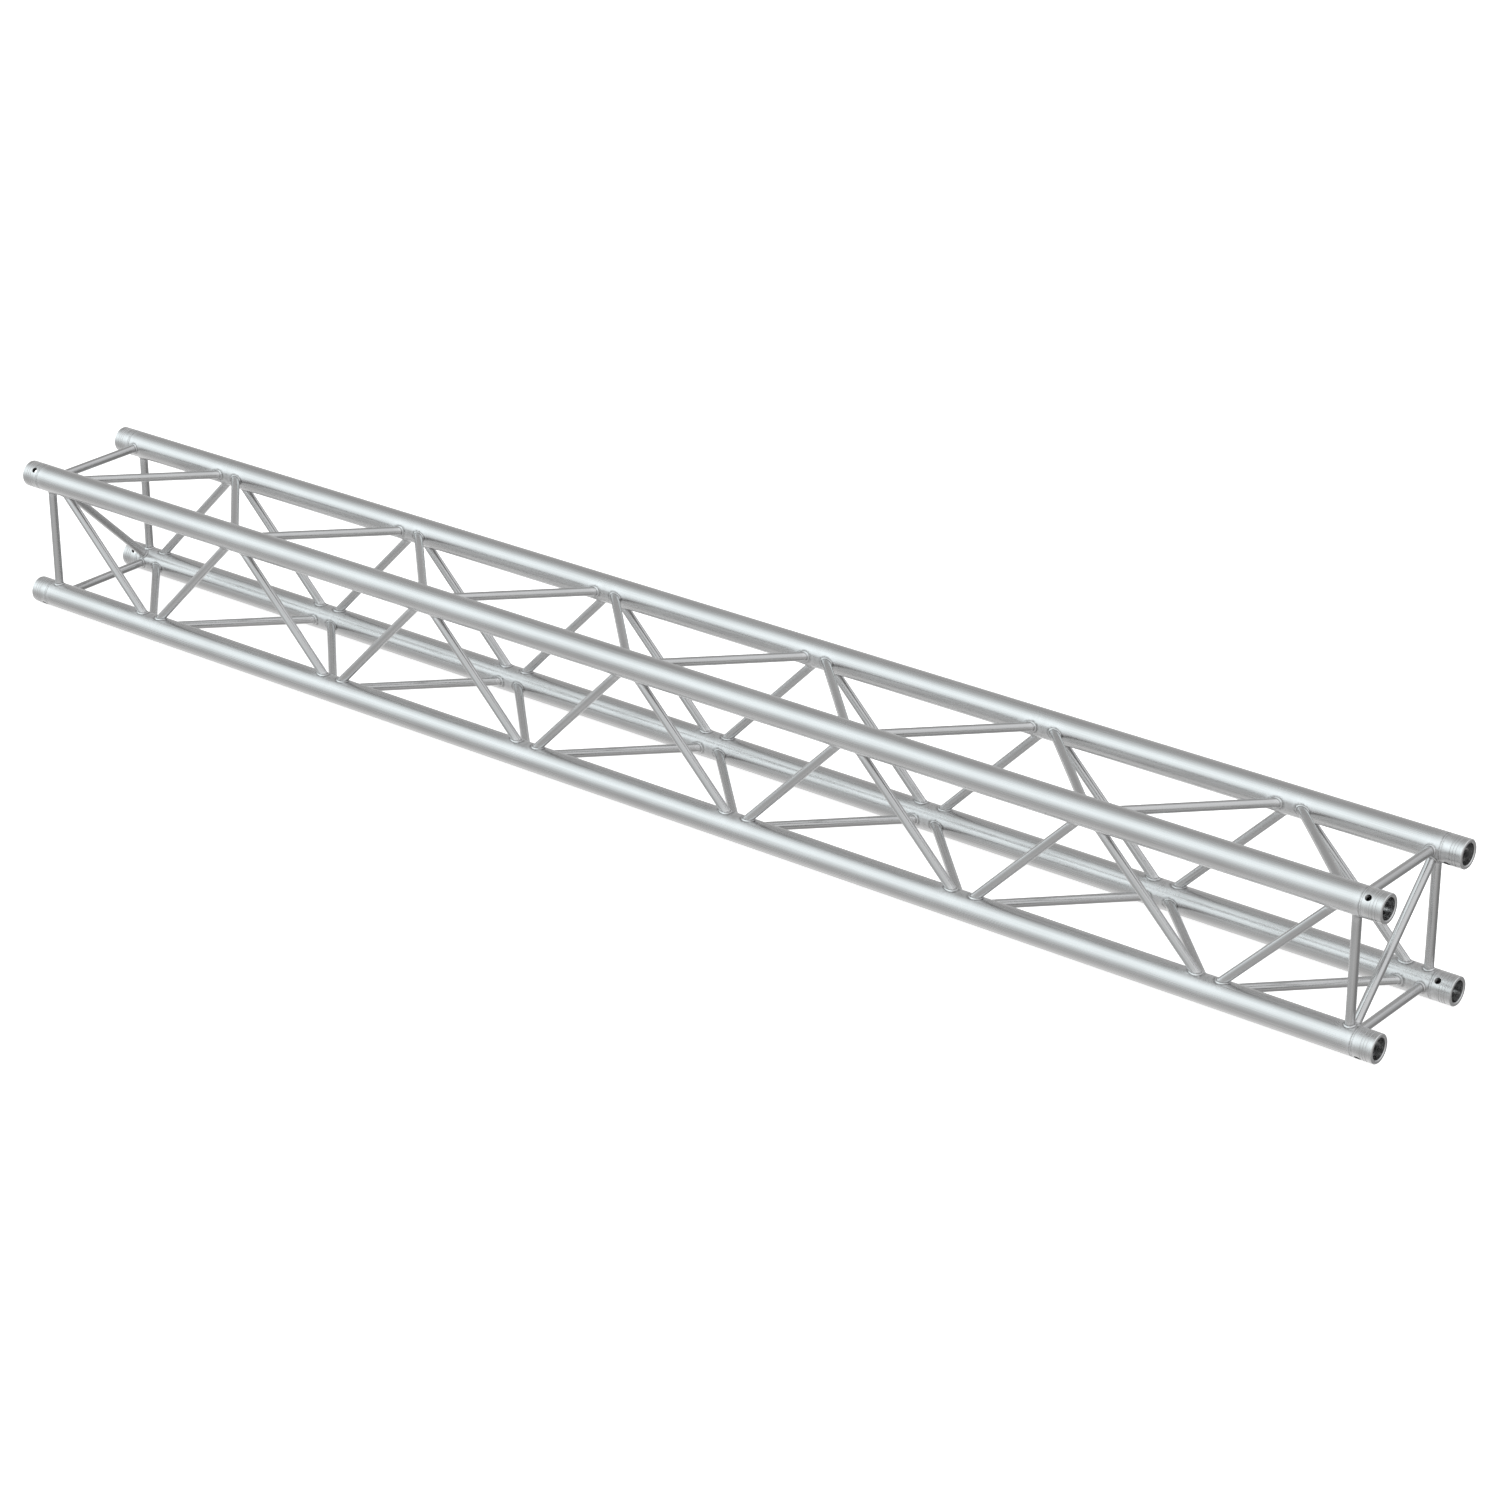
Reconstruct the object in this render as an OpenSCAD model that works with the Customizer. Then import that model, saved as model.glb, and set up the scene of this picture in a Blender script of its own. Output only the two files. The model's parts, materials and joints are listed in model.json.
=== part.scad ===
// Square box truss section with conical pin-lock receivers.
// Four chord tubes are joined by zig-zag bracing on all four faces and by a braced frame
// at each end.  Eight turned receivers are welded into the chord ends; a double-ended
// cone fits into each socket and a taper pin through the cross hole locks it.
// X runs along the truss, the front face looks towards -Y and Z is up.
// The origin is the centre of the section.  All sizes are in millimetres.

/* [Truss] */
// Length over the receiver end faces
truss_length = 3000; // [2000:100:4000]
// Width and height over the chords
truss_size = 290; // [250:10:400]
// Number of brace bays along each face
bays = 6; // [4:1:7]
// Distance from a receiver end face to the outermost brace node
node_inset = 72; // [68:1:90]
// Distance from a receiver end face to the middle of the end frame
frame_inset = 54; // [52:1:56]

/* [Chords] */
// Outside diameter of a chord tube
chord_d = 50; // [48:1:51]
// Wall thickness of a chord tube
chord_wall = 2; // [1.8:0.1:3]

/* [Braces] */
// Outside diameter of a brace tube
brace_d = 16; // [12:1:16]
// Wall thickness of a brace tube
brace_wall = 2; // [1:0.5:3]

/* [Receivers] */
// Length of a receiver that shows outside its chord tube
receiver_reach = 37.5; // [36:0.5:39]
// Length of the spigot inside the chord tube
spigot_length = 32.5; // [28:0.5:40]
// Diameter of the socket at its mouth
socket_mouth_d = 37; // [34:0.5:38]
// Diameter of the socket at its inner end
socket_end_d = 29.6; // [26:0.1:32]
// Depth of the tapered part of the socket
socket_depth = 60; // [54:1:62]
// Diameter of the cross hole for the locking pin
pin_hole_d = 11; // [8:0.5:12]
// Distance from the end face to the axis of the cross hole
pin_hole_inset = 27.5; // [26:0.5:29]
// Number of turned grooves near the mouth
groove_count = 3; // [0:1:3]

/* [Welds] */
// Width of the weld bead around a brace end
brace_weld = 2.4; // [1:0.1:2.6]
// Depth and half width of the weld groove between chord and receiver
seam_weld = 1.6; // [1:0.1:1.7]

/* [Hidden] */
$fn = 96;
chord_r = chord_d / 2;
bore_r = chord_r - chord_wall;
brace_r = brace_d / 2;
half = truss_size / 2 - chord_r;
end_x = truss_length / 2;
seam_x = end_x - receiver_reach;
frame_x = end_x - frame_inset;
pitch = (truss_length - 2 * node_inset) / bays;
brace_lean = atan2(pitch / 2, 2 * half);
rim_chamfer = 1.2;
spigot_chamfer = 2;
groove_first = 11;
groove_step = 5;
groove_width = 1.2;
groove_depth = 0.5;
overshoot = 1;

// Chord n sits at the top front corner after a turn of -90 * n degrees about X.
// Face n lies between chord n and the chord before it.
CHORDS = ["front_top", "rear_top", "rear_bottom", "front_bottom"];
FACES = ["front", "top", "rear", "bottom"];
FRAME_MEMBERS = ["front_post", "top_crossbar", "rear_post", "bottom_crossbar"];
SIDES = ["left", "right"];

// -1 for the left end, +1 for the right end
function side_sign(s) = s == 0 ? -1 : 1;

// Place along X of whole node i, counted from the left
function node_x(i) = (i - bays / 2) * pitch;

// Brace ends along chord n, as [place along X, direction in which the brace leans].
// Even chords carry the whole nodes and odd chords the half nodes between them.
function brace_ends(n) =
    n % 2 == 0
    ? [for (i = [0:bays], s = [-1, 1]) if (i + s >= 0 && i + s <= bays) [node_x(i), s]]
    : [for (i = [0:bays - 1], s = [-1, 1]) [node_x(i) + pitch / 2, s]];

// Puts a shape drawn about the X axis onto the line of chord n
module on_chord(n) {
    rotate([-90 * n, 0, 0])
        translate([0, -half, half])
            children();
}

// Solid cylinder about the X axis, centred on the origin
module rod_x(r, length) {
    rotate([0, 90, 0])
        cylinder(r = r, h = length, center = true);
}

// The space that the four chords take up
module chord_space() {
    for (n = [0:3])
        on_chord(n)
            rod_x(chord_r, truss_length);
}

// ---- chords ----

// Plain tube whose ends are bevelled for the seam weld
module chord(n) {
    length = 2 * seam_x;
    color("#c9cbcd")
        on_chord(n)
            rotate([0, 90, 0])
                translate([0, 0, -length / 2])
                    rotate_extrude()
                        polygon([
                            [bore_r, 0],
                            [chord_r - seam_weld, 0],
                            [chord_r, seam_weld],
                            [chord_r, length - seam_weld],
                            [chord_r - seam_weld, length],
                            [bore_r, length]
                        ]);
}

// ---- braces ----

// Rod in the front face from the lower chord axis at x_low to the upper one at x_high
module face_rod(r, x_low, x_high) {
    run = x_high - x_low;
    translate([x_low, -half, -half])
        rotate([0, atan2(run, 2 * half), 0])
            cylinder(r = r, h = norm([run, 2 * half]));
}

// Tube in the front face, coped to fit the two chords
module face_tube(x_low, x_high) {
    difference() {
        face_rod(brace_r, x_low, x_high);
        face_rod(brace_r - brace_wall, x_low, x_high);
        chord_space();
    }
}

// The two slanted braces of one bay; odd faces start from the opposite chord
module lattice_bay(face, bay) {
    whole_left = node_x(bay - 1);
    middle = whole_left + pitch / 2;
    whole_right = node_x(bay);
    color("#b4b6b9")
        rotate([-90 * face, 0, 0])
            for (whole = [whole_left, whole_right])
                if (face % 2 == 0)
                    face_tube(middle, whole);
                else
                    face_tube(whole, middle);
}

// Post or crossbar of an end frame
module frame_member(face, side) {
    x = side_sign(side) * frame_x;
    color("#a8aaae")
        rotate([-90 * face, 0, 0])
            face_tube(x, x);
}

// Diagonal of an end frame, between opposite chords
module end_diagonal(side) {
    span = 2 * half * sqrt(2);
    color("#a8aaae")
        translate([side_sign(side) * frame_x, 0, 0])
            rotate([45 - 90 * side, 0, 0])
                difference() {
                    cylinder(r = brace_r, h = span, center = true);
                    cylinder(r = brace_r - brace_wall, h = span + overshoot, center = true);
                    for (end = [-1, 1])
                        translate([0, 0, end * span / 2])
                            rod_x(chord_r, 2 * chord_d);
                }
}

// ---- receivers ----

// Half section of a receiver: radius against depth from the end face
module receiver_section() {
    mouth_r = socket_mouth_d / 2;
    length = receiver_reach + spigot_length;
    polygon(concat(
        [
            [mouth_r + rim_chamfer, 0],
            [chord_r - rim_chamfer, 0],
            [chord_r, rim_chamfer]
        ],
        [
            for (g = [0:1:groove_count - 1], p = [
                [chord_r, -groove_width / 2],
                [chord_r - groove_depth, 0],
                [chord_r, groove_width / 2]
            ])
                [p[0], groove_first + g * groove_step + p[1]]
        ],
        [
            [chord_r, receiver_reach - seam_weld],
            [chord_r - seam_weld, receiver_reach],
            [bore_r, receiver_reach],
            [bore_r, length - spigot_chamfer],
            [bore_r - spigot_chamfer, length],
            [socket_end_d / 2, length],
            [socket_end_d / 2, socket_depth],
            [mouth_r, rim_chamfer]
        ]
    ));
}

// Turned receiver with a tapered socket and a cross hole towards the truss centre line
module receiver(n, side) {
    color("#d4d6d8")
        on_chord(n)
            mirror([1 - side, 0, 0])
                difference() {
                    translate([end_x, 0, 0])
                        rotate([0, -90, 0])
                            rotate_extrude()
                                receiver_section();
                    translate([end_x - pin_hole_inset, 0, 0])
                        rotate([45, 0, 0])
                            cylinder(d = pin_hole_d, h = chord_d + 2 * overshoot, center = true);
                }
}

// ---- welds ----

// Collar around a brace that leaves a chord downwards, leaning along X
module weld_collar(lean) {
    difference() {
        intersection() {
            difference() {
                rod_x(chord_r + brace_weld, 2 * chord_d);
                rod_x(chord_r, 2 * chord_d + overshoot);
            }
            rotate([0, 180 - lean, 0])
                cylinder(r = brace_r + brace_weld, h = chord_d);
        }
        rotate([0, 180 - lean, 0])
            cylinder(r = brace_r, h = chord_d);
    }
}

// Weld beads around every brace that ends on chord n
module brace_welds(n) {
    color("#dcdddf")
        on_chord(n) {
            for (end = brace_ends(n), turn = [0, 90])
                translate([end[0], 0, 0])
                    rotate([turn, 0, 0])
                        weld_collar(end[1] * brace_lean);
            for (side = [0, 1])
                translate([side_sign(side) * frame_x, 0, 0])
                    for (turn = n % 2 == side ? [0, 45, 90] : [0, 90])
                        rotate([turn, 0, 0])
                            weld_collar(0);
        }
}

// Seam welds that fill the grooves between chord n and its two receivers
module receiver_welds(n) {
    color("#dcdddf")
        on_chord(n)
            for (side = [0, 1])
                translate([side_sign(side) * seam_x, 0, 0])
                    rotate([0, 90, 0])
                        rotate_extrude()
                            polygon([
                                [chord_r, -seam_weld],
                                [chord_r, seam_weld],
                                [chord_r - seam_weld, 0]
                            ]);
}

// ---- assembly ----

for (n = [0:3])
    chord(n);
for (n = [0:3], s = [0, 1])
    receiver(n, s);
for (f = [0:3], b = [1:bays])
    lattice_bay(f, b);
for (s = [0, 1], f = [0:3])
    frame_member(f, s);
for (s = [0, 1])
    end_diagonal(s);
for (n = [0:3])
    brace_welds(n);
for (n = [0:3])
    receiver_welds(n);
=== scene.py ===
"""Looks for a square box truss section: four chord tubes, zig-zag braces, end frames, turned
receivers and weld beads, all in aluminium.  Units are metres, in the frame of the CAD model:
X runs along the truss, the front face looks towards -Y and Z is up."""

import json
import math
import random

import bmesh
import bpy
import numpy as np
from mathutils import Matrix, Vector


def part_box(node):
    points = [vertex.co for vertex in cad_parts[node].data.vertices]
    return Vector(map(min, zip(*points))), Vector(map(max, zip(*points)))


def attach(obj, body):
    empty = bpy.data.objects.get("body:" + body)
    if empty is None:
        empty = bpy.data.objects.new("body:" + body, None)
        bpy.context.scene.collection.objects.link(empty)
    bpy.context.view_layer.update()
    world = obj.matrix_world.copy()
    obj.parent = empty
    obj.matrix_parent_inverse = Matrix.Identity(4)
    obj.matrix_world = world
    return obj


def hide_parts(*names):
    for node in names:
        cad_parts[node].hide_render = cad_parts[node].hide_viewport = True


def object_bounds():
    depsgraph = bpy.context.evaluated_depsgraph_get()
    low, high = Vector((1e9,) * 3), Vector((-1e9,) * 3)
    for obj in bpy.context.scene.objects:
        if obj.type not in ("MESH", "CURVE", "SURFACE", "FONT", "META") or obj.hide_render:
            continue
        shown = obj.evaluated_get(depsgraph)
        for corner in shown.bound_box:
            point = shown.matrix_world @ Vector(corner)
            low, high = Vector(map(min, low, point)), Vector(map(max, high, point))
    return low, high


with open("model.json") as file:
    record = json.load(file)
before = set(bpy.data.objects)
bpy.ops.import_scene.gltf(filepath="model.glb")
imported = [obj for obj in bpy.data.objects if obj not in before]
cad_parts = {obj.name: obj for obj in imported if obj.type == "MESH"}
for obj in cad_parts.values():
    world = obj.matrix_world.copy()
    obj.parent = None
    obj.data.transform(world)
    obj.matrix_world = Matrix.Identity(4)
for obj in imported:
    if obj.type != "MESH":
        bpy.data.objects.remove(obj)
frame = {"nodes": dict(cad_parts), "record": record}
cad_box = [list(corner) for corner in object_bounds()]

# ---------------------------------------------------------------- sizes

CHORDS = ["front_top", "rear_top", "rear_bottom", "front_bottom"]
FACES = ["front", "top", "rear", "bottom"]
SIDES = {"left": -1.0, "right": 1.0}
FRAME_MEMBERS = ["front_post", "top_crossbar", "rear_post", "bottom_crossbar"]
MM = 0.001
X_AXIS = np.array([1.0, 0.0, 0.0])

# read from the frame
END_X = cad_box[1][0]
FLOOR_Z = cad_box[0][2]


def middle(node):
    """Middle of a CAD node's box."""
    low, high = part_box(node)
    return (Vector(low) + Vector(high)) / 2


def extent(node):
    """Size of a CAD node's box."""
    low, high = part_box(node)
    return Vector(high) - Vector(low)


CHORD_R = extent("front_top_chord").z / 2
SEAM_X = extent("front_top_chord").x / 2
BRACE_R = extent("right_front_post").x / 2
FRAME_X = middle("right_front_post").x
PITCH = middle("front_lattice_bay_2").x - middle("front_lattice_bay_1").x
BAYS = sum(name.startswith("front_lattice_bay_") for name in frame["nodes"])
RECEIVER_LENGTH = extent("front_top_receiver_right").x
PIN_HOLE = next(m for m in frame["record"]["mounts"] if m["name"].endswith("right_pin_hole_outer"))
PIN_HOLE_X = PIN_HOLE["pos_m"][0]
PIN_HOLE_R = PIN_HOLE["dims"]["r_mm"] * MM

# sizes that the frame doesn't state
TUBE_WALL = 2 * MM
SOCKET_MOUTH_R = 18.5 * MM
SOCKET_END_R = 14.8 * MM
SOCKET_DEPTH = 60 * MM
RIM_CHAMFER = 1.2 * MM
SPIGOT_CHAMFER = 2 * MM
GROOVES = [11 * MM, 16 * MM, 21 * MM]
GROOVE_WIDTH = 1.2 * MM
GROOVE_DEPTH = 0.5 * MM
SEAM_WELD = 1.6 * MM
BEAD = 2.3 * MM
HOLE_BREAK = 0.6 * MM
RIPPLE_PITCH = 2.0 * MM
RIPPLE_DEPTH = 0.16 * MM
RIPPLE_POINTS = 6
SEAM_RIPPLES = 74
HEAT_REACH = 20 * MM

BORE_R = CHORD_R - TUBE_WALL


def chord_centre(n):
    """Y and Z of the axis of chord n."""
    m = middle(CHORDS[n] + "_chord")
    return np.array([0.0, m.y, m.z])


CHORD_AXES = [chord_centre(n) for n in range(4)]


# ---------------------------------------------------------------- mesh building


class Skin:
    """Collects grids of points with their true normals and makes one closed mesh of them.

    grain is a point in the tube's own coordinates, which the materials read for streaks.
    marks are three numbers from 0 to 1: how close the point is to a weld (frost beside it and painted shade
    at its toe), how much it stands out (a worn edge, or the crest of a ripple, which gets a painted
    highlight) and how deep it lies in a hole (painted shade)."""

    def __init__(self):
        self.points, self.normals, self.grain, self.marks, self.quads = [], [], [], [], []
        self.count = 0

    def grid(self, points, normals, grain, marks=None, wrap=True):
        """Adds rows x columns of points; wrap joins the last column to the first."""
        rows, cols = points.shape[:2]
        if marks is None:
            marks = np.zeros((rows, cols, 3))
        index = np.arange(rows * cols).reshape(rows, cols)
        after = np.roll(index, -1, axis=1)
        if not wrap:
            index, after = index[:, :-1], after[:, :-1]
        quads = np.stack([index[:-1], after[:-1], after[1:], index[1:]], axis=-1).reshape(-1, 4)
        flat, turned = points.reshape(-1, 3), normals.reshape(-1, 3)
        corner = [flat[quads[:, k]] for k in range(4)]
        facing = np.cross(corner[2] - corner[0], corner[3] - corner[1])
        if np.sum(facing * turned[quads[:, 0]]) < 0:
            quads = quads[:, ::-1]
        self.quads.append(quads + self.count)
        self.points.append(flat)
        self.normals.append(turned)
        self.grain.append(grain.reshape(-1, 3))
        self.marks.append(marks.reshape(-1, 3))
        self.count += rows * cols

    def mesh(self, name):
        points, normals = np.concatenate(self.points), np.concatenate(self.normals)
        grain, marks = np.concatenate(self.grain), np.concatenate(self.marks)
        quads = np.concatenate(self.quads)
        key = np.round(points * 1e7).astype(np.int64)
        first, shared = np.unique(key, axis=0, return_index=True, return_inverse=True)[1:]
        shared = shared.reshape(-1)
        faces, loops = [], []
        for quad in quads:
            kept = [k for i, k in enumerate(quad) if shared[k] != shared[quad[i - 1]]]
            if len(kept) > 2:
                faces.append([int(shared[k]) for k in kept])
                loops.extend(kept)
        return finished_mesh(name, points[first], faces, normals[loops], grain[first], marks[first])


def finished_mesh(name, points, faces, loop_normals, grain, marks):
    """A mesh with its own loop normals and the attributes that the materials read."""
    mesh = bpy.data.meshes.new(name)
    mesh.from_pydata(points.tolist(), [], faces)
    mesh.shade_smooth()
    mesh.normals_split_custom_set(loop_normals.tolist())
    mesh.attributes.new("grain", "FLOAT_VECTOR", "POINT").data.foreach_set(
        "vector", grain.astype(np.float32).ravel())
    for k, mark in enumerate(("weld_near", "crest", "hollow")):
        mesh.attributes.new(mark, "FLOAT", "POINT").data.foreach_set(
            "value", marks[:, k].astype(np.float32))
    return mesh


def unit(v):
    return v / np.linalg.norm(v, axis=-1, keepdims=True)


def circle(count):
    return np.arange(count) * (2 * math.pi / count)


def add_piece(name, mesh, material):
    """Links a finished mesh as the piece that stands for the CAD node of the same name."""
    piece = bpy.data.objects.new(name + "_visual", mesh)
    bpy.context.scene.collection.objects.link(piece)
    mesh.materials.append(material)
    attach(piece, "root")
    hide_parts(name)
    return piece


# ---------------------------------------------------------------- brace layout


class Brace:
    """A straight tube between two chord axes, coped to fit both chords."""

    def __init__(self, chord_a, x_a, chord_b, x_b):
        self.ends = (chord_a, chord_b)
        self.start = CHORD_AXES[chord_a] + x_a * X_AXIS
        self.finish = CHORD_AXES[chord_b] + x_b * X_AXIS
        self.length = np.linalg.norm(self.finish - self.start)
        self.axis = (self.finish - self.start) / self.length
        self.u = unit(np.cross(self.axis, X_AXIS if abs(self.axis[0]) < 0.5 else [0.0, 0.6, 0.8]))
        self.v = np.cross(self.axis, self.u)

    def out(self, angles):
        """Directions out of the tube's side."""
        return np.cos(angles)[:, None] * self.u + np.sin(angles)[:, None] * self.v

    def cope(self, end, radius, angles):
        """How far along the axis the wall of this radius meets the chord at that end."""
        on_wall = self.start + radius * self.out(angles) - CHORD_AXES[self.ends[end]]
        across, lead = on_wall * [0, 1, 1], self.axis * [0, 1, 1]
        a = lead @ lead
        b = 2 * across @ lead
        c = np.sum(across * across, axis=1) - CHORD_R**2
        root = np.sqrt(b * b - 4 * a * c)
        return (-b + root) / (2 * a) if end == 0 else (-b - root) / (2 * a)


def lattice_braces(face, bay):
    """The two braces of a bay: whole nodes lie on chord `face` where the face is even."""
    upper, lower = face, (face + 3) % 4
    whole, half = (upper, lower) if face % 2 == 0 else (lower, upper)
    x = middle(f"{FACES[face]}_lattice_bay_{bay}").x
    return [Brace(whole, x + s * PITCH / 2, half, x) for s in (-1, 1)]


def frame_brace(face, side):
    x = SIDES[side] * FRAME_X
    return Brace(face, x, (face + 3) % 4, x)


def end_diagonal(side):
    x = SIDES[side] * FRAME_X
    first = 0 if side == "left" else 1
    return Brace(first, x, first + 2, x)


BRACES = {}
for face_number, face_name in enumerate(FACES):
    for bay_number in range(1, BAYS + 1):
        BRACES[f"{face_name}_lattice_bay_{bay_number}"] = lattice_braces(face_number, bay_number)
for side_name in SIDES:
    for face_number, member in enumerate(FRAME_MEMBERS):
        BRACES[f"{side_name}_{member}"] = [frame_brace(face_number, side_name)]
    BRACES[f"{side_name}_end_diagonal"] = [end_diagonal(side_name)]


# ---------------------------------------------------------------- tubes


def near_weld(distance):
    """1 at the toe of a weld, falling evenly to 0 at HEAT_REACH from it."""
    return np.clip(1 - distance / HEAT_REACH, 0.0, 1.0)


def add_brace(skin, brace, shift):
    """Adds one coped tube.  shift moves its grain, so that no two tubes look the same."""
    angles = circle(64)
    out = brace.out(angles)
    rims = []
    for radius, sign in ((BRACE_R, 1.0), (BRACE_R - TUBE_WALL, -1.0)):
        low = brace.cope(0, BRACE_R if sign > 0 else radius, angles)
        high = brace.cope(1, BRACE_R if sign > 0 else radius, angles)
        steps = np.array([0, 2, 4, 6, 9, 13, 18, 26, 40]) * MM
        along = np.concatenate([low + s for s in steps] +
                               [low + (high - low) / 2] +
                               [high - s for s in steps[::-1]]).reshape(-1, len(angles))
        if sign < 0:
            along = along[[0, -1]]
        points = brace.start + along[..., None] * brace.axis + radius * out
        normals = np.broadcast_to(sign * out, points.shape)
        flat = np.stack([np.cos(angles), np.sin(angles)], axis=-1) * radius
        grain = np.concatenate([along[..., None], np.broadcast_to(flat, points.shape[:2] + (2,))], axis=-1)
        toe = np.minimum(along - low, high - along) - BEAD
        marks = np.stack([near_weld(toe), np.zeros_like(toe), np.zeros_like(toe)], axis=-1)
        skin.grid(points, normals, grain + shift, marks)
        rims.append((points, grain))
    for end, sign in ((0, -1.0), (-1, 1.0)):
        points = np.stack([rims[0][0][end], rims[1][0][end]])
        grain = np.stack([rims[0][1][end], rims[1][1][end]])
        centre = CHORD_AXES[brace.ends[0 if end == 0 else 1]]
        normals = -unit((points - centre) * [0, 1, 1])
        skin.grid(points, normals, grain + shift)


def brace_piece(name, material):
    skin = Skin()
    for k, brace in enumerate(BRACES[name]):
        rng = random.Random(f"{name} {k}")
        add_brace(skin, brace, np.array([rng.uniform(0, 40) for _ in range(3)]))
    return add_piece(name, skin.mesh(name), material)


def chord_rows(n):
    """Places along a chord for rings of points: close together around every joint."""
    fine = {SEAM_X, -SEAM_X, SEAM_X - SEAM_WELD, SEAM_WELD - SEAM_X}
    for x in np.arange(-SEAM_X, SEAM_X, 40 * MM):
        fine.add(round(float(x), 5))
    joints = {round(b.start[0] if b.ends[0] == n else b.finish[0], 5)
              for group in BRACES.values() for b in group if n in b.ends}
    for joint in joints:
        for x in np.arange(-46 * MM, 46.1 * MM, 2.3 * MM):
            if abs(joint + x) < SEAM_X - 4 * MM:
                fine.add(round(float(joint + x), 5))
    rows = [-SEAM_X]
    for x in sorted(fine):
        if x - rows[-1] > 1.2 * MM:
            rows.append(x)
    rows[-1] = SEAM_X
    return np.array(rows)


def chord_marks(n, points):
    """How close each point of a chord's surface is to a brace weld or a seam weld."""
    nearest = np.full(points.shape[:2], 1.0)
    for group in BRACES.values():
        for brace in group:
            if n not in brace.ends:
                continue
            near = np.abs(points[:, 0, 0] - (brace.start if brace.ends[0] == n else brace.finish)[0])
            rows = near < 70 * MM
            offset = points[rows] - brace.start
            along = offset @ brace.axis
            off_axis = np.linalg.norm(offset - along[..., None] * brace.axis, axis=-1)
            inward = brace.axis if brace.ends[0] == n else -brace.axis
            facing = (points[rows] - CHORD_AXES[n]) @ (inward * [0, 1, 1]) > 0
            reach = np.where(facing, off_axis - BRACE_R - BEAD, 1.0)
            nearest[rows] = np.minimum(nearest[rows], reach)
    seam = SEAM_X - SEAM_WELD - np.abs(points[..., 0])
    return near_weld(np.minimum(nearest, seam))


def chord_piece(n, material):
    name = CHORDS[n] + "_chord"
    skin = Skin()
    angles = circle(128)
    around = np.stack([np.zeros_like(angles), np.cos(angles), np.sin(angles)], axis=-1)
    rng = random.Random(name)
    shift = np.array([rng.uniform(0, 40) for _ in range(3)])

    def ring_grid(xs, radii, normals, marks=None):
        xs, radii = np.array(xs), np.array(radii)
        points = xs[:, None, None] * X_AXIS + radii[:, None, None] * around + CHORD_AXES[n]
        skin.grid(points, np.broadcast_to(normals, points.shape), points - CHORD_AXES[n] + shift, marks)

    rows = chord_rows(n)[1:-1]
    outer = rows[:, None, None] * X_AXIS + CHORD_R * around + CHORD_AXES[n]
    marks = chord_marks(n, outer)[..., None] * np.array([1.0, 0.0, 0.0])
    edge = SEAM_X - SEAM_WELD
    ends = np.repeat(np.array([[[1.0, 0.0, 0.0]]]), len(angles), axis=1)
    marks = np.concatenate([ends, marks, ends])
    xs = np.concatenate([[-edge], rows, [edge]])
    ring_grid(xs, np.full(len(xs), CHORD_R), around, marks)
    ring_grid([-SEAM_X, SEAM_X], [BORE_R, BORE_R], -around)
    for s in (-1.0, 1.0):
        ring_grid([s * edge, s * SEAM_X], [CHORD_R, CHORD_R - SEAM_WELD], unit(around + s * X_AXIS))
        ring_grid([s * SEAM_X, s * SEAM_X], [CHORD_R - SEAM_WELD, BORE_R], s * X_AXIS)
    return add_piece(name, skin.mesh(name), material)


# ---------------------------------------------------------------- receivers


def receiver_profile():
    """Closed outline of a receiver as (radius, depth from the end face)."""
    reach = END_X - SEAM_X
    outline = [(SOCKET_MOUTH_R + RIM_CHAMFER, 0.0), (CHORD_R - RIM_CHAMFER, 0.0), (CHORD_R, RIM_CHAMFER)]
    for depth in GROOVES:
        outline += [(CHORD_R, depth - GROOVE_WIDTH / 2),
                    (CHORD_R - GROOVE_DEPTH, depth - GROOVE_WIDTH / 6),
                    (CHORD_R - GROOVE_DEPTH, depth + GROOVE_WIDTH / 6),
                    (CHORD_R, depth + GROOVE_WIDTH / 2)]
    outline += [(CHORD_R, reach - SEAM_WELD), (CHORD_R - SEAM_WELD, reach), (BORE_R, reach),
                (BORE_R, RECEIVER_LENGTH - SPIGOT_CHAMFER),
                (BORE_R - SPIGOT_CHAMFER, RECEIVER_LENGTH), (SOCKET_END_R, RECEIVER_LENGTH),
                (SOCKET_END_R, SOCKET_DEPTH)]
    steps = 12
    outline += [(SOCKET_END_R + (SOCKET_MOUTH_R - SOCKET_END_R) * k / steps,
                 SOCKET_DEPTH + (RIM_CHAMFER - SOCKET_DEPTH) * k / steps) for k in range(1, steps + 1)]
    return outline


def turned(name, outline, count, origin, axis):
    """Solid of revolution as a scratch object: outline of (radius, place along axis)."""
    side = unit(np.cross(axis, [0.3, 0.5, 0.8]))
    other = np.cross(axis, side)
    angles = circle(count)
    around = np.cos(angles)[:, None] * side + np.sin(angles)[:, None] * other
    points = np.concatenate([origin + along * axis + radius * around for radius, along in outline])
    index = np.arange(len(points)).reshape(len(outline), count)
    below, ahead = np.roll(index, -1, axis=0), np.roll(index, -1, axis=1)
    quads = np.stack([index, ahead, np.roll(below, -1, axis=1), below], axis=-1).reshape(-1, 4)
    mesh = bpy.data.meshes.new(name)
    mesh.from_pydata(points.tolist(), [], quads.tolist())
    scratch = bpy.data.objects.new(name, mesh)
    bpy.context.scene.collection.objects.link(scratch)
    return scratch


def pin_cutter(centre, axis):
    """What the drill and the countersink take away: a rod that flares at both ends."""
    spare = 2 * MM
    neck, tip = CHORD_R - HOLE_BREAK, CHORD_R + spare
    flare = PIN_HOLE_R + HOLE_BREAK + spare
    core = 0.01 * MM
    outline = [(core, -tip), (flare, -tip), (PIN_HOLE_R, -neck),
               (PIN_HOLE_R, neck), (flare, tip), (core, tip)]
    return turned("pin_cutter", outline, 72, centre, axis)


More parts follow.
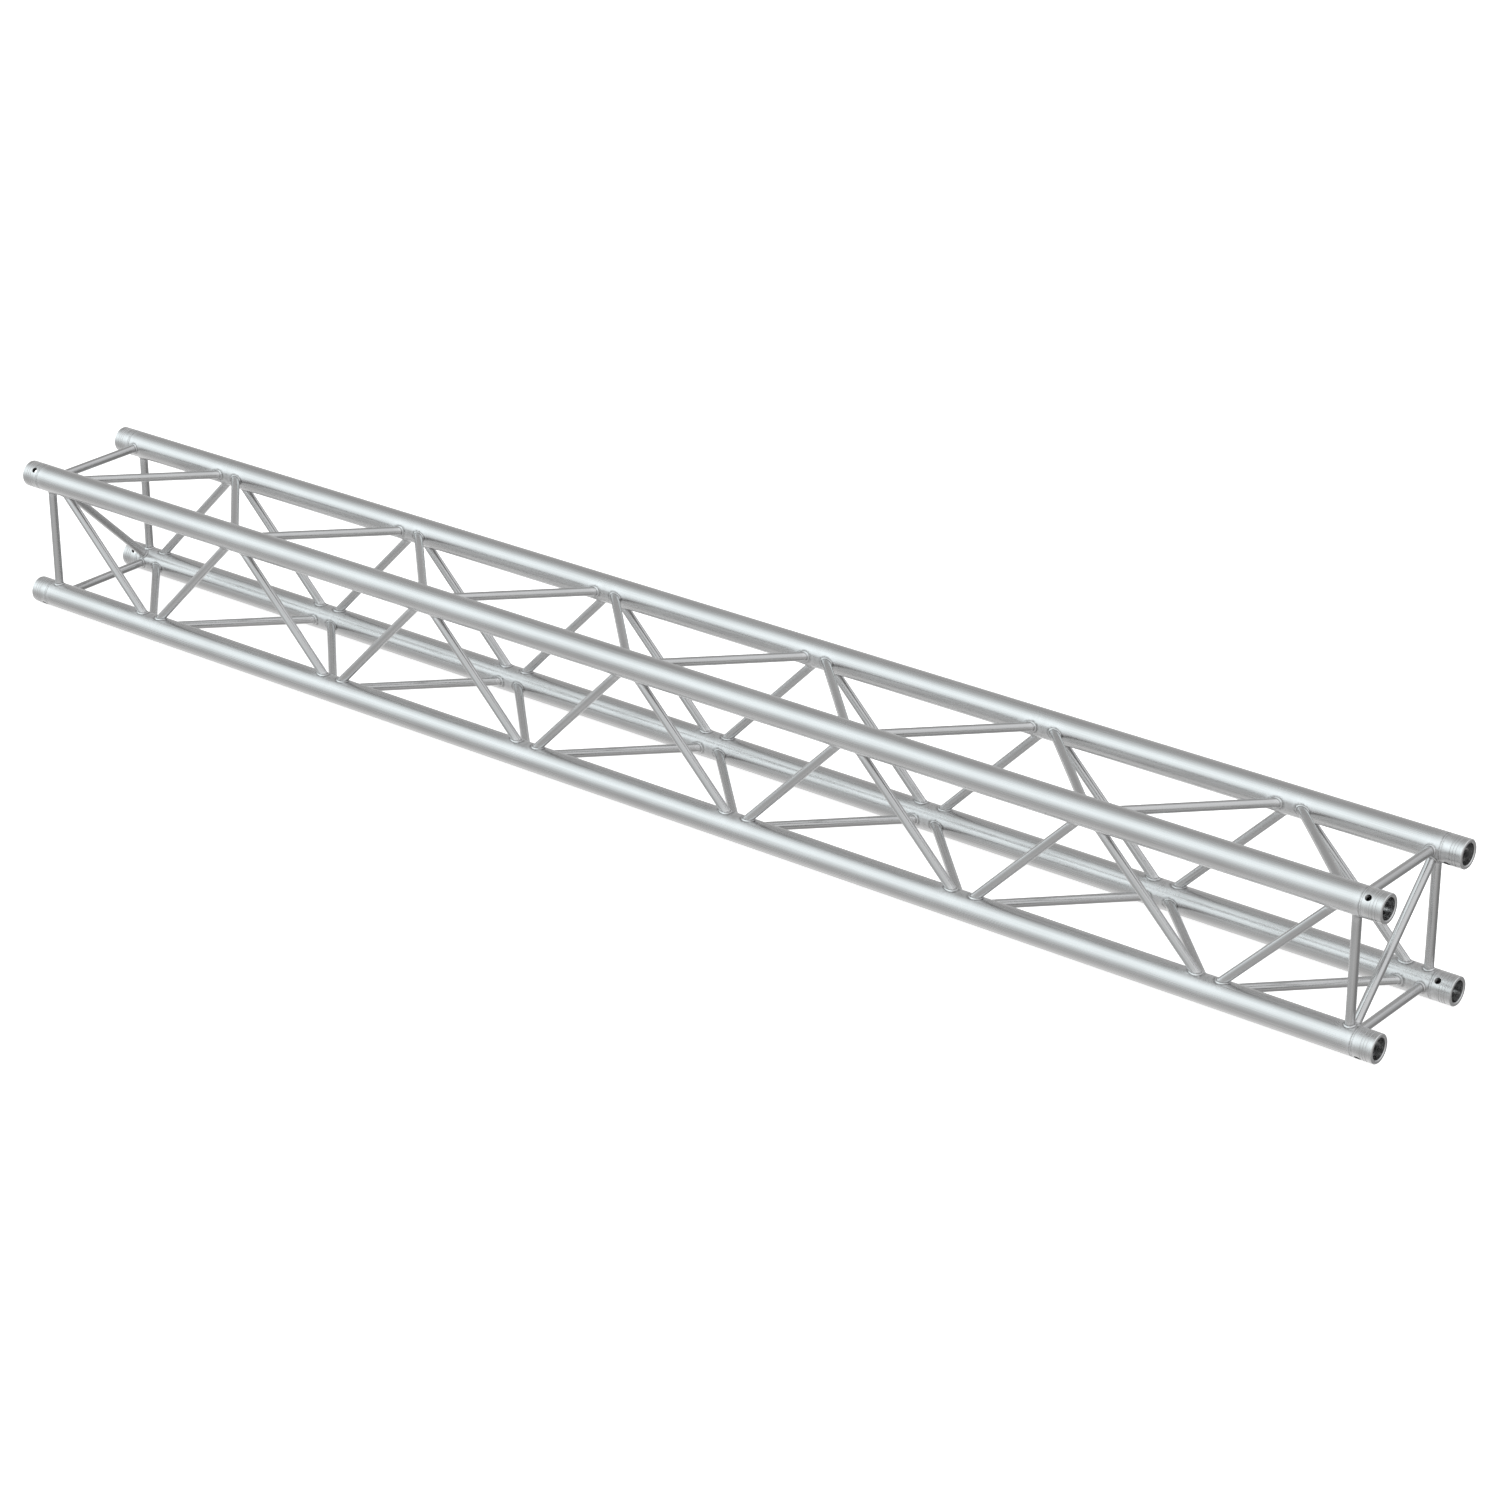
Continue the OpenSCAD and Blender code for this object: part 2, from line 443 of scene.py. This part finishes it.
def receiver_piece(n, side, material):
    """Turned receiver, cross-drilled, with exact normals on every turned and drilled surface."""
    name = f"{CHORDS[n]}_receiver_{side}"
    sign = SIDES[side]
    mouth = CHORD_AXES[n] + sign * END_X * X_AXIS
    inward = -sign * X_AXIS
    hole_axis = unit(CHORD_AXES[n])
    hole_centre = CHORD_AXES[n] + sign * PIN_HOLE_X * X_AXIS
    blank = turned(name + "_blank", receiver_profile(), 160, mouth, inward)
    cutter = pin_cutter(hole_centre, hole_axis)
    for scratch in (blank, cutter):
        recalculated(scratch.data)
    drill = blank.modifiers.new("drill", "BOOLEAN")
    drill.operation, drill.solver, drill.object = "DIFFERENCE", "EXACT", cutter
    bpy.context.view_layer.update()
    cut = bpy.data.meshes.new_from_object(blank.evaluated_get(bpy.context.evaluated_depsgraph_get()))
    points = np.array([v.co[:] for v in cut.vertices])
    faces = [list(p.vertices) for p in cut.polygons]
    loop_normals = []
    for polygon, corners in zip(cut.polygons, faces):
        loop_normals.extend(true_normals(points[corners], np.array(polygon.normal), CHORD_AXES[n],
                                         hole_centre, hole_axis))
    from_axis = points - CHORD_AXES[n]
    radius = np.linalg.norm(from_axis * [0, 1, 1], axis=1)
    depth = (points - mouth) @ inward
    grain = np.stack([depth - (CHORD_R - radius), from_axis[:, 1], from_axis[:, 2]], axis=-1)
    grain[:, 0] += random.Random(name).uniform(0, 5)
    to_hole = points - hole_centre
    off_hole = np.linalg.norm(to_hole - (to_hole @ hole_axis)[:, None] * hole_axis, axis=1)
    rim = np.minimum(np.abs(depth) + np.abs(radius - CHORD_R + RIM_CHAMFER / 2),
                     np.abs(depth) + np.abs(radius - SOCKET_MOUTH_R - RIM_CHAMFER / 2))
    wear = np.exp(-np.minimum(rim, np.abs(off_hole - PIN_HOLE_R - HOLE_BREAK)) / (0.8 * MM))
    # hollow is the mask for painted shade: up to 1 deep in the pin hole, up to 0.2 inside the socket.
    hollow = np.where(off_hole < PIN_HOLE_R + 0.02 * MM, (CHORD_R - radius) / (3 * MM), 0.0)
    hollow = np.where(radius < BORE_R - 1 * MM, np.maximum(hollow, 0.2 * depth / (25 * MM)), hollow)
    hollow = np.clip(hollow, 0.0, np.where(off_hole < PIN_HOLE_R + 0.02 * MM, 1.0, 0.2))
    marks = np.stack([near_weld(END_X - SEAM_X - SEAM_WELD - depth) * (radius > BORE_R), wear, hollow],
                     axis=-1)
    mesh = finished_mesh(name, points, faces, np.array(loop_normals), grain, marks)
    for scratch in (blank, cutter):
        bpy.data.objects.remove(scratch)
    return add_piece(name, mesh, material)


def recalculated(mesh):
    """Turns all faces outwards."""
    work = bmesh.new()
    work.from_mesh(mesh)
    bmesh.ops.recalc_face_normals(work, faces=work.faces)
    work.to_mesh(mesh)
    work.free()


def true_normals(corners, flat, axis_point, hole_centre, hole_axis):
    """Normals at a face's corners, on the drilled hole, on its countersink or on a turned surface."""
    slip = 0.02 * MM
    to_hole = corners - hole_centre
    along = to_hole @ hole_axis
    off = to_hole - along[:, None] * hole_axis
    distance = np.linalg.norm(off, axis=1)
    if np.all(np.abs(distance - PIN_HOLE_R) < slip) and abs(flat @ hole_axis) < 0.2:
        return -off / distance[:, None]
    sunk = PIN_HOLE_R + np.abs(along) - (CHORD_R - HOLE_BREAK)
    if np.all(np.abs(distance - sunk) < slip) and abs(flat @ hole_axis) > 0.4:
        return unit(np.sign(along)[:, None] * hole_axis - off / distance[:, None])
    lean = flat[0]
    radial = (corners - axis_point) * [0, 1, 1]
    facing = np.sign(np.sum(radial.mean(axis=0) * flat)) or 1.0
    return lean * X_AXIS + facing * math.sqrt(max(0.0, 1 - lean * lean)) * unit(radial)


# ---------------------------------------------------------------- welds


def numeric_normals(points):
    """Normals of a grid whose rows and columns both close on themselves, from its own slopes."""
    down = np.roll(points, -1, axis=0) - np.roll(points, 1, axis=0)
    across = np.roll(points, -1, axis=1) - np.roll(points, 1, axis=1)
    return unit(np.cross(across, down) + 1e-15)


def ripple(phase):
    """Round crests with sharp valleys between them, 0 to 1."""
    return np.abs(np.sin(math.pi * phase))


def wobble(rng, angles):
    """Slow uneven swelling round a closed bead, about -1 to 1."""
    waves = [(k, rng.uniform(0.3, 1.0) / k, rng.uniform(0, 2 * math.pi)) for k in (1, 2, 3, 5)]
    return sum(size * np.sin(k * angles + start) for k, size, start in waves) / 1.6


def add_bead(skin, brace, end, rng):
    """A rippled fillet weld in the corner between a brace and its chord."""
    coarse = circle(48)
    ring = brace.start + BRACE_R * brace.out(coarse)
    ring = ring + brace.cope(end, BRACE_R, coarse)[:, None] * brace.axis
    length = np.linalg.norm(ring - np.roll(ring, 1, axis=0), axis=1).sum()
    angles = circle(round(length / RIPPLE_PITCH) * RIPPLE_POINTS)
    out = brace.out(angles)
    corner = brace.start + brace.cope(end, BRACE_R, angles)[:, None] * brace.axis + BRACE_R * out
    along = unit(np.roll(corner, -1, axis=0) - np.roll(corner, 1, axis=0))
    off_chord = unit((corner - CHORD_AXES[brace.ends[end]]) * [0, 1, 1])
    up_brace, on_chord = np.cross(along, out), np.cross(along, off_chord)
    up_brace *= np.sign(up_brace @ (brace.axis * (1 - 2 * end)))[:, None]
    on_chord *= np.sign(np.sum(on_chord * out, axis=1))[:, None]
    size = BEAD * (1 + 0.05 * wobble(rng, angles) - 0.03)
    sweep = np.linspace(0, math.pi / 2, 9)[:, None]
    crescent = 0.35 * np.sin(2 * sweep)
    phase = np.arange(len(angles)) / RIPPLE_POINTS + crescent + rng.random()
    bulge = np.sin(2 * sweep)
    reach = size * (1 - 0.17 * bulge) + RIPPLE_DEPTH * bulge * (ripple(phase) - 1)
    toward = np.cos(sweep)[..., None] * up_brace + np.sin(sweep)[..., None] * on_chord
    top = corner + reach[..., None] * toward
    sink = 0.06 * MM
    top[0] -= sink * out
    top[-1] -= sink * off_chord
    root = corner - 0.4 * MM * unit(up_brace + on_chord)
    points = np.concatenate([top, root[None]])
    normals = numeric_normals(points)
    if np.sum(normals[4] * (up_brace + on_chord)) < 0:
        normals = -normals
    arc = np.broadcast_to((angles * BRACE_R)[None, :, None], points.shape[:2] + (1,))
    grain = np.concatenate([arc, points[..., 1:]], axis=-1)
    grain = grain + np.array([rng.uniform(0, 9), 0, 0])
    # crest gets a painted highlight in weld_metal; toe marks the bead's edges, which get painted shade.
    crest = np.broadcast_to(ripple(phase) * bulge, top.shape[:2])
    toe = np.broadcast_to(1 - bulge, top.shape[:2])
    marks = np.stack([toe, crest, np.zeros_like(crest)], axis=-1)
    marks = np.concatenate([marks, np.zeros_like(marks[:1])])
    closed = [np.concatenate([rows, rows[:1]]) for rows in (points, normals, grain, marks)]
    skin.grid(*closed)


def brace_weld_piece(n, material):
    name = CHORDS[n] + "_brace_welds"
    skin = Skin()
    rng = random.Random(name)
    for group in BRACES.values():
        for brace in group:
            for end in (0, 1):
                if brace.ends[end] == n:
                    add_bead(skin, brace, end, rng)
    return add_piece(name, skin.mesh(name), material)


def receiver_weld_piece(n, material):
    """Rippled rings that fill the groove between chord and receiver, flush with both."""
    name = CHORDS[n] + "_receiver_welds"
    skin = Skin()
    rng = random.Random(name)
    angles = circle(SEAM_RIPPLES * RIPPLE_POINTS)
    around = np.stack([np.zeros_like(angles), np.cos(angles), np.sin(angles)], axis=-1)
    across = np.linspace(-1, 1, 11)[:, None]
    for s in (-1.0, 1.0):
        crown = 1 - across**2
        phase = np.arange(len(angles)) / RIPPLE_POINTS + 0.4 * crown + rng.random()
        low = 0.03 + 0.22 * crown * (1 - ripple(phase)) + 0.10 * crown * (1 + wobble(rng, angles))
        radius = CHORD_R - low * MM
        place = s * (SEAM_X + across * SEAM_WELD * np.ones_like(angles))
        top = CHORD_AXES[n] + place[..., None] * X_AXIS + radius[..., None] * around
        root = CHORD_AXES[n] + s * SEAM_X * X_AXIS + (CHORD_R - SEAM_WELD) * around
        points = np.concatenate([top, root[None]])
        normals = numeric_normals(points)
        if np.sum(normals[5] * around) < 0:
            normals = -normals
        arc = np.broadcast_to((angles * CHORD_R)[None, :, None], points.shape[:2] + (1,))
        grain = np.concatenate([arc, points[..., 1:]], axis=-1)
        # crest gets a painted highlight in weld_metal; toe marks the bead's edges, which get painted shade.
        crest = ripple(phase) * crown
        toe = np.broadcast_to(1 - crown, crest.shape)
        marks = np.stack([toe, crest, np.zeros_like(crest)], axis=-1)
        marks = np.concatenate([marks, np.zeros_like(marks[:1])])
        skin.grid(*[np.concatenate([rows, rows[:1]]) for rows in (points, normals, grain, marks)])
    return add_piece(name, skin.mesh(name), material)


# ---------------------------------------------------------------- materials


class Nodes:
    """A node tree, built by short calls."""

    def __init__(self, tree):
        self.tree = tree
        tree.nodes.clear()

    def add(self, kind, settings=None, **sockets):
        """Makes a node; a socket given a node output is linked, and one given a value is set."""
        made = self.tree.nodes.new(kind)
        for key, value in (settings or {}).items():
            setattr(made, key, value)
        for key, value in sockets.items():
            self.put(made, key.replace("_", " "), value)
        return made

    def put(self, made, key, value):
        socket = made.inputs[int(key) if key.isdigit() else key]
        if isinstance(value, bpy.types.NodeSocket):
            self.tree.links.new(value, socket)
        else:
            socket.default_value = value

    def maths(self, operation, a, b=0.0):
        made = self.add("ShaderNodeMath", {"operation": operation})
        self.put(made, "0", a)
        self.put(made, "1", b)
        return made.outputs[0]

    def vector(self, operation, a, b=(0.0, 0.0, 0.0), output="Vector"):
        made = self.add("ShaderNodeVectorMath", {"operation": operation})
        self.put(made, "0", a)
        self.put(made, "1", b)
        return made.outputs[output]

    def scaled(self, vector, factor):
        made = self.add("ShaderNodeVectorMath", {"operation": "SCALE"}, Scale=factor)
        self.put(made, "0", vector)
        return made.outputs[0]

    def spread(self, value, low, high, to_low=0.0, to_high=1.0):
        """Maps low..high to to_low..to_high, clamped."""
        made = self.add("ShaderNodeMapRange", Value=value)
        for key, number in (("From Min", low), ("From Max", high), ("To Min", to_low), ("To Max", to_high)):
            made.inputs[key].default_value = number
        return made.outputs[0]


class Shader(Nodes):
    """A material with one Principled surface.

    attribute() reads the mesh attributes that finished_mesh() writes."""

    def __init__(self, name):
        self.material = bpy.data.materials.new(name)
        self.material.use_nodes = True
        super().__init__(self.material.node_tree)
        self.surface = self.add("ShaderNodeBsdfPrincipled")
        output = self.add("ShaderNodeOutputMaterial")
        self.tree.links.new(self.surface.outputs["BSDF"], output.inputs["Surface"])

    def attribute(self, name, output):
        return self.add("ShaderNodeAttribute", {"attribute_name": name}).outputs[output]

    def noise(self, scale, detail=3.0, roughness=0.55, grain=None):
        """Noise over the grain coordinates; scale is features per metre along and across."""
        stretched = self.vector("MULTIPLY", grain or self.attribute("grain", "Vector"), scale)
        made = self.add("ShaderNodeTexNoise", Vector=stretched, Scale=1.0, Detail=detail,
                        Roughness=roughness)
        return made.outputs[0]

    def mix(self, factor, a, b):
        made = self.add("ShaderNodeMix", {"data_type": "RGBA"})
        self.put(made, "0", factor)
        self.put(made, "6", a)
        self.put(made, "7", b)
        return made.outputs[2]

    def bump(self, height, distance, strength=1.0, under=None):
        made = self.add("ShaderNodeBump", Height=height, Distance=distance, Strength=strength)
        if under is not None:
            self.put(made, "Normal", under)
        return made.outputs[0]

    def finish(self, colour, roughness, normal, metallic=1.0):
        for key, value in (("Base Color", colour), ("Roughness", roughness), ("Normal", normal),
                           ("Metallic", metallic)):
            self.put(self.surface, key, value)
        return self.material


def grey(value, warm=0.0):
    """A grey; warm above 0 leans to mauve-brown, below 0 to blue-green."""
    return (value * (1 + 0.5 * warm), value * (1 - 0.15 * abs(warm)), value * (1 - 0.5 * warm), 1.0)


def weld_heat(sh, colour, rough, painted_toe_shade_strength):
    """The frosted patch beside a weld, and a thin line of painted shade right at its toe, where the joint's
    contact shadow falls.
    """
    near = sh.attribute("weld_near", "Fac")
    patch = sh.noise((170.0, 170.0, 170.0))
    frost = sh.noise((900.0, 900.0, 900.0), detail=2.0)
    halo = sh.maths("MULTIPLY", sh.maths("POWER", near, 2.2), sh.spread(patch, 0.38, 0.62, 0.35, 1.0))
    halo = sh.maths("MULTIPLY", halo, sh.spread(frost, 0.35, 0.6, 0.45, 1.0))
    # Painted shade: a thin dark line at the weld toe stands in for the contact shadow there.
    painted_toe_shade = sh.maths("MULTIPLY", sh.spread(near, 0.87, 1.0, 0.0, painted_toe_shade_strength),
                    sh.spread(sh.noise((260.0, 260.0, 260.0)), 0.36, 0.6, 0.2, 1.0))
    colour = sh.mix(halo, colour, grey(0.88, -0.01))
    # The painted shade at the weld toe is laid over the colour here.
    colour = sh.mix(painted_toe_shade, colour, grey(0.24, 0.03))
    rough = sh.maths("ADD", rough, sh.maths("MULTIPLY", halo, 0.20))
    return colour, rough


def extruded(name, dark, light, roughness, streak_width):
    """Mill-finish tube with die lines along it and soft blotches."""
    sh = Shader(name)
    across = 1 / streak_width
    lines = sh.noise((1.6, across, across), detail=4.0, roughness=0.65)
    fine = sh.noise((9.0, 4.2 * across, 4.2 * across), detail=2.0)
    blotch = sh.noise((7.0, 26.0, 26.0), detail=3.0)
    speck = sh.noise((1500.0, 1500.0, 1500.0), detail=2.0)
    tone = sh.maths("ADD", sh.maths("MULTIPLY", lines, 0.62), sh.maths("MULTIPLY", blotch, 0.38))
    colour = sh.mix(sh.spread(tone, 0.34, 0.66), dark, light)
    low, high = roughness
    rough = sh.spread(sh.maths("ADD", sh.maths("MULTIPLY", lines, 0.5), sh.maths("MULTIPLY", blotch, 0.5)),
                      0.35, 0.65, low, high)
    # Frost beside the welds, and painted shade at their toes at strength 0.8.
    colour, rough = weld_heat(sh, colour, rough, 0.8)
    normal = sh.bump(lines, 0.06 * MM, 0.5)
    normal = sh.bump(fine, 0.02 * MM, 0.5, normal)
    normal = sh.bump(speck, 0.012 * MM, 0.35, normal)
    return sh.finish(colour, rough, normal)


def turned_metal(name):
    """Machined aluminium: tool rings, bright broken edges, holes darkened with painted shade and a frosted
    band at the seam with painted shade at its toe.
    """
    sh = Shader(name)
    rings = sh.noise((3600.0, 6.0, 6.0), detail=2.0, roughness=0.7)
    bands = sh.noise((420.0, 4.0, 4.0), detail=2.0)
    smear = sh.noise((60.0, 60.0, 60.0), detail=3.0)
    colour = sh.mix(sh.spread(sh.maths("ADD", rings, bands), 0.75, 1.25), grey(0.60), grey(0.76))
    colour = sh.mix(sh.spread(smear, 0.45, 0.75, 0.0, 0.35), colour, grey(0.56, 0.02))
    colour = sh.mix(sh.maths("MULTIPLY", sh.attribute("crest", "Fac"), 0.8), colour, grey(0.92))
    rough = sh.spread(sh.maths("ADD", bands, smear), 0.8, 1.25, 0.20, 0.32)
    # Frost beside the seam weld, and painted shade at its toe at strength 0.45.
    colour, rough = weld_heat(sh, colour, rough, 0.45)
    # Painted shade: the pin hole walls are darkened almost to black and the socket a little, by how deep
    # the point lies.
    hollow = sh.attribute("hollow", "Fac")
    colour = sh.mix(sh.maths("MULTIPLY", hollow, 0.95), colour, grey(0.05, 0.02))
    rough = sh.maths("ADD", rough, sh.maths("MULTIPLY", hollow, 0.15))
    normal = sh.bump(rings, 0.05 * MM, 0.6)
    normal = sh.bump(bands, 0.05 * MM, 0.4, normal)
    return sh.finish(colour, rough, normal)


def weld_metal(name):
    """Frosty weld bead: painted highlight on the ripple crests, which leaves the valleys between them
    darker, and painted shade along its edges.
    """
    sh = Shader(name)
    frost = sh.noise((2600.0, 2600.0, 2600.0), detail=3.0)
    patch = sh.noise((240.0, 240.0, 240.0), detail=3.0)
    colour = sh.mix(sh.spread(patch, 0.4, 0.7), grey(0.72, -0.01), grey(0.58, 0.02))
    # Painted highlight: the crests of the ripples are made lighter.
    colour = sh.mix(sh.spread(sh.attribute("crest", "Fac"), 0.45, 1.0), colour, grey(0.84))
    # Painted shade along the bead's toes, where it meets the tubes.
    painted_bead_shade = sh.maths("MULTIPLY", sh.spread(sh.attribute("weld_near", "Fac"), 0.35, 0.95),
                    sh.spread(patch, 0.35, 0.6, 0.45, 0.95))
    colour = sh.mix(painted_bead_shade, colour, grey(0.22, 0.03))
    rough = sh.spread(sh.maths("ADD", frost, patch), 0.8, 1.2, 0.28, 0.44)
    normal = sh.bump(frost, 0.03 * MM, 0.5)
    return sh.finish(colour, rough, normal)


chord_metal = extruded("chord_aluminium", grey(0.60, 0.01), grey(0.72), (0.21, 0.31), 1.1 * MM)
brace_metal = extruded("brace_aluminium", grey(0.56, 0.01), grey(0.69), (0.15, 0.25), 0.8 * MM)
receiver_metal = turned_metal("receiver_aluminium")
bead_metal = weld_metal("weld_bead_aluminium")

# ---------------------------------------------------------------- pieces

for number in range(4):
    chord_piece(number, chord_metal)
    for side_name in SIDES:
        receiver_piece(number, side_name, receiver_metal)
    brace_weld_piece(number, bead_metal)
    receiver_weld_piece(number, bead_metal)
for brace_name in BRACES:
    brace_piece(brace_name, brace_metal)

# ---------------------------------------------------------------- floor and light

FLOOR_SIZE = 90.0


def floor():
    """Plain white floor, seen directly but left out of the metal's reflections."""
    corner = FLOOR_SIZE / 2
    mesh = bpy.data.meshes.new("floor")
    mesh.from_pydata([(x, y, FLOOR_Z) for x, y in
                      ((-corner, -corner), (corner, -corner), (corner, corner), (-corner, corner))],
                     [], [(0, 1, 2, 3)])
    made = bpy.data.objects.new("floor", mesh)
    bpy.context.scene.collection.objects.link(made)
    paint = Shader("floor_white")
    paint.surface.inputs["Base Color"].default_value = (0.9, 0.9, 0.9, 1.0)
    paint.surface.inputs["Roughness"].default_value = 0.9
    paint.surface.inputs["Specular IOR Level"].default_value = 0.0
    paint.surface.inputs["Emission Color"].default_value = (1.0, 1.0, 1.0, 1.0)
    paint.surface.inputs["Emission Strength"].default_value = 0.75
    mesh.materials.append(paint.material)
    made.visible_glossy = False


def floor_wash():
    """Very soft light from above that whitens the floor and isn't mirrored in the metal."""
    sun = bpy.data.lights.new("floor_wash", "SUN")
    sun.energy, sun.angle = 2.6, math.radians(150)
    holder = bpy.data.objects.new("floor_wash", sun)
    holder.visible_glossy = False
    bpy.context.scene.collection.objects.link(holder)


# Long soft panels of light that run beside the truss.  Each stands at an angle round it: 0 is level
# behind it, 90 overhead, 180 level in front and 270 below.  The higher its focus, the narrower its
# glow.  The two levels are its brightness towards the left and towards the right.
PANELS = {
    # name: (angle, focus, (left, right), tint)
    "key": (140, 7.0, (1.00, 0.10), (0.90, 1.00, 1.03)),
    "bounce": (300, 3.0, (0.50, 0.00), (1.00, 1.00, 1.00)),
    "overhead": (70, 3.0, (0.00, 0.65), (0.98, 1.00, 1.03)),
    "front": (180, 2.0, (0.00, 0.35), (1.00, 1.00, 1.00)),
}
ROOM_LEVEL = (0.40, 0.25)
SIDE_BLEND = 0.25


def studio():
    """Softly lit room that the metal mirrors, white where the camera looks past the object."""
    world = bpy.data.worlds.new("studio")
    bpy.context.scene.world = world
    world.use_nodes = True
    room = Nodes(world.node_tree)
    way = room.add("ShaderNodeTexCoord").outputs["Generated"]
    round_truss = room.vector("NORMALIZE", room.vector("MULTIPLY", way, (0.0, 1.0, 1.0)))
    rightward = room.spread(room.vector("DOT_PRODUCT", way, (1.0, 0.0, 0.0), "Value"),
                            -SIDE_BLEND, SIDE_BLEND)
    light = room.scaled((1.0, 1.0, 1.0), room.spread(rightward, 0.0, 1.0, *ROOM_LEVEL))
    for angle, focus, levels, tint in PANELS.values():
        stand = (0.0, math.cos(math.radians(angle)), math.sin(math.radians(angle)))
        facing = room.spread(room.vector("DOT_PRODUCT", round_truss, stand, "Value"), -1.0, 1.0)
        glow = room.maths("MULTIPLY", room.maths("POWER", facing, focus),
                          room.spread(rightward, 0.0, 1.0, *levels))
        light = room.vector("ADD", light, room.scaled(tint, glow))
    room_light = room.add("ShaderNodeBackground", Color=light)
    white = room.add("ShaderNodeBackground", Color=(1.0, 1.0, 1.0, 1.0))
    either = room.add("ShaderNodeMixShader")
    seen = room.add("ShaderNodeLightPath").outputs["Is Camera Ray"]
    for k, source in enumerate((seen, room_light.outputs[0], white.outputs[0])):
        room.put(either, str(k), source)
    room.add("ShaderNodeOutputWorld", Surface=either.outputs[0])
    world.cycles_visibility.diffuse = False


floor()
floor_wash()
studio()

# ---------------------------------------------------------------- camera

CAMERA_AZIMUTH = math.radians(38.64)
CAMERA_ELEVATION = math.radians(24.51)
CAMERA_ROLL = math.radians(-0.1)
CAMERA_DISTANCE = 7.143
AIM_RIGHT = 0.1337
AIM_DOWN = 0.0765
LENS = 98.03


def camera():
    """Long lens, looking down at the front and the right-hand end."""
    back = Vector((math.sin(CAMERA_AZIMUTH) * math.cos(CAMERA_ELEVATION),
                   -math.cos(CAMERA_AZIMUTH) * math.cos(CAMERA_ELEVATION), math.sin(CAMERA_ELEVATION)))
    across = Vector((math.cos(CAMERA_AZIMUTH), math.sin(CAMERA_AZIMUTH), 0.0))
    up = back.cross(across)
    right = across * math.cos(CAMERA_ROLL) + up * math.sin(CAMERA_ROLL)
    up = back.cross(right)
    data = bpy.data.cameras.new("camera")
    data.lens, data.sensor_width, data.clip_end = LENS, 36.0, 200.0
    holder = bpy.data.objects.new("camera", data)
    place = back * CAMERA_DISTANCE + right * AIM_RIGHT - up * AIM_DOWN
    holder.matrix_world = Matrix.Translation(place) @ Matrix((right, up, back)).transposed().to_4x4()
    bpy.context.scene.collection.objects.link(holder)
    bpy.context.scene.camera = holder


camera()
bpy.context.scene.view_settings.view_transform = "Standard"
